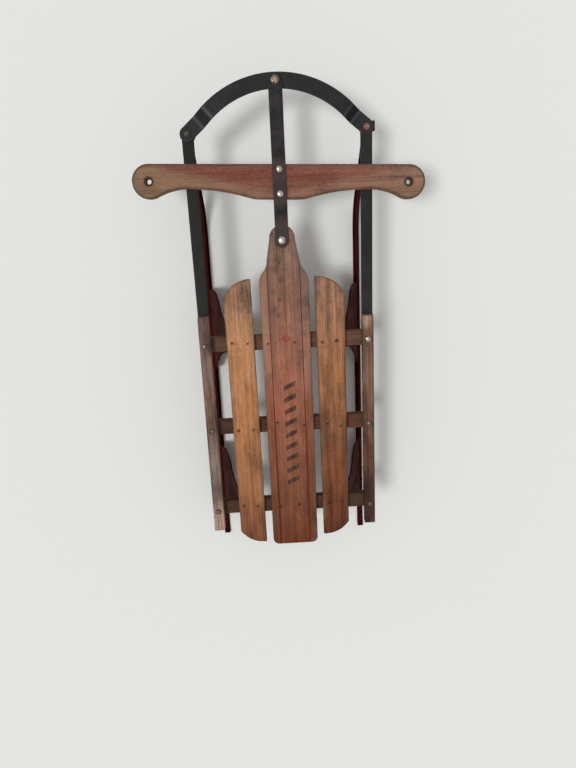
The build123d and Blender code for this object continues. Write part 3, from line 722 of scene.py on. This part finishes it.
# Steering bar: one shaped piece of hardwood with a grip and a tow hole at each end. Faded red
# paint is left on it in two wedges that meet under the strap.
bar_low, bar_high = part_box("steering_bar")
bar_x = 275.5 * mm
bar_front = 28.3 * mm
bar_skew = radians(2.4)
bar_rivet_step = 19.75 * mm
tow_hole_places = ((284.6 * mm, 217.8 * mm), (266.4 * mm, -217.8 * mm))
under_strap_places = [(bar_x + step, 0) for step in (-bar_rivet_step, 0, bar_rivet_step)]
bar_stains = [(Vector((x, y, bar_high.z)), 12 * mm) for x, y in tow_hole_places]
bar_stains += [(Vector((x, y, bar_high.z)), 14 * mm) for x, y in under_strap_places]
bar_tones = [(0, "#876957"), (0.18, "#8d6753"), (0.5, "#865e4d"), (0.82, "#84634c"), (1, "#84674f")]
bm = whole_copy("steering_bar")
round_and_wear(bm, rounding=1.2 * mm, spacing=(4 * mm, 4 * mm, 4 * mm), reach=6 * mm, chip=0.4 * mm,
               stains=bar_stains)

# Oiled hardwood, shaped and worn smooth: matt grey brown, with dark holes, and dark arrises that are partly
# grime and partly painted shade.
bar = timber("worn hardwood of the steering bar", bar_tones, "Y", span=(-247 * mm, 247 * mm),
             lined=0.5, grey=("#65513f", "#93775f"), greyed=0.02, shift=(0.2, 0.6, 0.3), dark_arris_and_shade=0.75)
node, axes = bar["node"], bar["axes"]

# The red: how far behind the bar's front edge it reaches shrinks from the strap to the grips, it
# stops short of that edge, and it is fainter on the right.
front_edge = node("Math", {0: axes["Y"], 1: -sin(bar_skew), 2: axes["X"]}, operation="MULTIPLY_ADD")
depth = node("Math", {0: bar_x + bar_front, 1: front_edge}, operation="SUBTRACT")
outward = node("Math", {0: axes["Y"]}, operation="ABSOLUTE")
wedge = node("MapRange", {"Value": outward, "From Min": 10 * mm, "From Max": 205 * mm, "To Min": 44 * mm,
                          "To Max": 6 * mm})
wedge = node("Math", {0: bar["broad"], 1: 30 * mm, 2: wedge}, operation="MULTIPLY_ADD")
wedge = node("Math", {0: wedge, 1: depth}, operation="SUBTRACT")
wedge = node("MapRange", {"Value": wedge, "From Min": 12 * mm, "From Max": 19 * mm})
inset = node("MapRange", {"Value": depth, "From Min": 2 * mm, "From Max": 5 * mm, "To Min": 0.15})
kept = node("MapRange", {"Value": bar["rubbed"], "From Min": 1.15, "From Max": 1.65, "To Min": 0.95,
                         "To Max": 0.15})
fading = node("MapRange", {"Value": axes["Y"], "From Min": -160 * mm, "From Max": -20 * mm, "To Min": 0.55})
on_top = node("MapRange", {"Value": axes["Z"], "From Min": bar_high.z - 1.6 * mm,
                           "From Max": bar_high.z - 0.6 * mm})
red = wedge
for share in (inset, kept, fading, on_top):
    red = node("Math", {0: red, 1: share}, operation="MULTIPLY")
skin = node("MixRGB", {"Fac": red, "Color1": bar["wood"], "Color2": "#6e2b25"})
connect(bar["material"], bar["shader"], Base_Color=skin)
finish_piece(bm, "steering_bar_handle", bar["material"], body="steering_lever",
             replaces=("steering_bar",))

# Rivets and bolts: round-headed steel, zinc plated. The plating is bright where it is rubbed, and
# dull or brown in the rest. A head has its radius and its height, and a tail is its other end.
down = (0, 0, -1)
rail_bolt = (5.5 * mm, 2.4 * mm)
big_head = (7.5 * mm, 3.6 * mm)
big_tail = (6.5 * mm, 2.4 * mm)
bar_head = (5.8 * mm, 3 * mm)
bar_tail = (5.8 * mm, 2 * mm)
end_head = (bow_end_rivet_radius, 3 * mm)
end_tail = (bow_end_rivet_radius, 2.4 * mm)
rail_bolt_x = (0, -160 * mm, -325 * mm)
rail_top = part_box("left_rail")[1].z
crosspiece_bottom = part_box("middle_crosspiece")[0].z
board_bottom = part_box("centre_board")[0].z
strap_nose_top = 139.6 * mm
bow_x = 432.5 * mm
strap_front_top = 143.9 * mm
bow_bottom = 137.6 * mm
bow_end_top = 131.6 * mm
tab_underside = 122 * mm


def plated(name, bright, dull, amount, roughness):
    """Old zinc plating: metal that is bright where it is rubbed and dulled by a film round its rim."""
    material, shader, node, place = new_material(name)
    film = node("TexNoise", {"Vector": place, "Scale": 1 / (4 * mm), "Detail": 5, "Roughness": 0.6})
    grit = node("TexNoise", {"Vector": place, "Scale": 1 / (0.8 * mm), "Detail": 2})
    rim = node("Attribute", attribute_name="edge").node.outputs["Fac"]
    rim = node("Math", {0: rim, 1: 3.0}, operation="POWER")
    film = node("Math", {0: rim, 1: 0.3, 2: film}, operation="MULTIPLY_ADD")
    dulled = node("MapRange", {"Value": film, "From Min": 0.56 - amount, "From Max": 0.72 - amount})
    skin = node("MixRGB", {"Fac": dulled, "Color1": bright, "Color2": dull})
    rough = node("MapRange", {"Value": dulled, "To Min": roughness, "To Max": 0.75})
    metal = node("MapRange", {"Value": dulled, "To Min": 0.9, "To Max": 0.2})
    relief = node("Bump", {"Height": grit, "Strength": 0.3, "Distance": 0.15 * mm})
    connect(material, shader, Base_Color=skin, Roughness=rough, Metallic=metal, Normal=relief)
    return material


# Zinc plating on steel, bright and rubbed on some heads, and dull, brown, rusted or greasy on others.
bright_zinc = plated("bright zinc", "#b9b2a6", "#54402f", amount=0.0, roughness=0.34)
dull_zinc = plated("dull zinc", "#7f766a", "#44372e", amount=0.1, roughness=0.45)
brown_zinc = plated("browned zinc", "#a3978a", "#5a4028", amount=0.06, roughness=0.36)
rusty_zinc = plated("rusted zinc", "#8d7b6c", "#633a22", amount=0.05, roughness=0.45)
olive_zinc = plated("greased zinc", "#5a5546", "#332f27", amount=0.16, roughness=0.5)

heads = [((0, -runner_y, rail_top), up, *rail_bolt),
         ((pivot_x, 0, strap_nose_top), up, *big_head),
         ((pivot_x, 0, board_bottom), down, *big_tail)]
heads_piece(heads, "right_front_bolt_and_pivot", bright_zinc, body="frame",
            replaces=("deck_rivets",))

heads = []
for x in rail_bolt_x:
    for y in (runner_y, -runner_y):
        if x < 0 or y > 0:
            heads.append(((x, y, rail_top), up, *rail_bolt))
        heads.append(((x, y, crosspiece_bottom), down, *rail_bolt))
heads_piece(heads, "dull_rail_bolts", dull_zinc, body="frame")

heads = []
for x in (bar_x - bar_rivet_step, bar_x + bar_rivet_step):
    heads.append(((x, 0, strap_high.z), up, *bar_head))
    heads.append(((x, 0, bar_low.z), down, *bar_tail))
heads_piece(heads, "bar_rivets", bright_zinc, body="steering_lever")

heads = [((bow_x, 0, strap_front_top), up, *big_head), ((bow_x, 0, bow_bottom), down, *big_tail)]
heads_piece(heads, "bow_rivet_head", brown_zinc, body="steering_lever",
            replaces=("bow_rivet",))

for side, y, zinc, taken in (("left", bow_end_y, olive_zinc, ("bow_end_rivets",)),
                             ("right", -bow_end_y, rusty_zinc, ())):
    heads = [((bow_end_x, y, bow_end_top), up, *end_head),
             ((bow_end_x, y, tab_underside), down, *end_tail)]
    heads_piece(heads, side + "_bow_end_rivet", zinc, body="bow_arch", replaces=taken)

# Floor and light: a plain pale studio floor that runs to the horizon. A white dome of light gives
# most of the light, and a broad soft lamp high on the left of the picture gives the rest.
floor_half = 40
dome_strength = 0.58
lamp_way = Vector((0.05, -0.4, -1.0))
floor_mesh = bpy.data.meshes.new("floor")
bm = bmesh.new()
bmesh.ops.create_grid(bm, x_segments=1, y_segments=1, size=floor_half)
bm.to_mesh(floor_mesh)
bm.free()
floor = bpy.data.objects.new("floor", floor_mesh)
bpy.context.scene.collection.objects.link(floor)

# Matt studio paint: an even pale grey that takes soft shadows.
floor_paint, floor_shader, *_ = new_material("pale matt paint", 0.1)
floor_shader.inputs["Base Color"].default_value = linear("#e4e5e2")
floor_shader.inputs["Roughness"].default_value = 0.9
floor_mesh.materials.append(floor_paint)

world = bpy.data.worlds.new("studio dome")
world.use_nodes = True
world.node_tree.nodes["Background"].inputs["Color"].default_value = (1, 1, 1, 1)
world.node_tree.nodes["Background"].inputs["Strength"].default_value = dome_strength
bpy.context.scene.world = world
lamp = bpy.data.objects.new("broad lamp", bpy.data.lights.new("broad lamp", "SUN"))
lamp.data.energy = 1.45
lamp.data.angle = radians(15)
lamp.rotation_euler = lamp_way.to_track_quat("-Z", "Y").to_euler()
bpy.context.scene.collection.objects.link(lamp)
bpy.context.scene.view_settings.view_transform = "Standard"
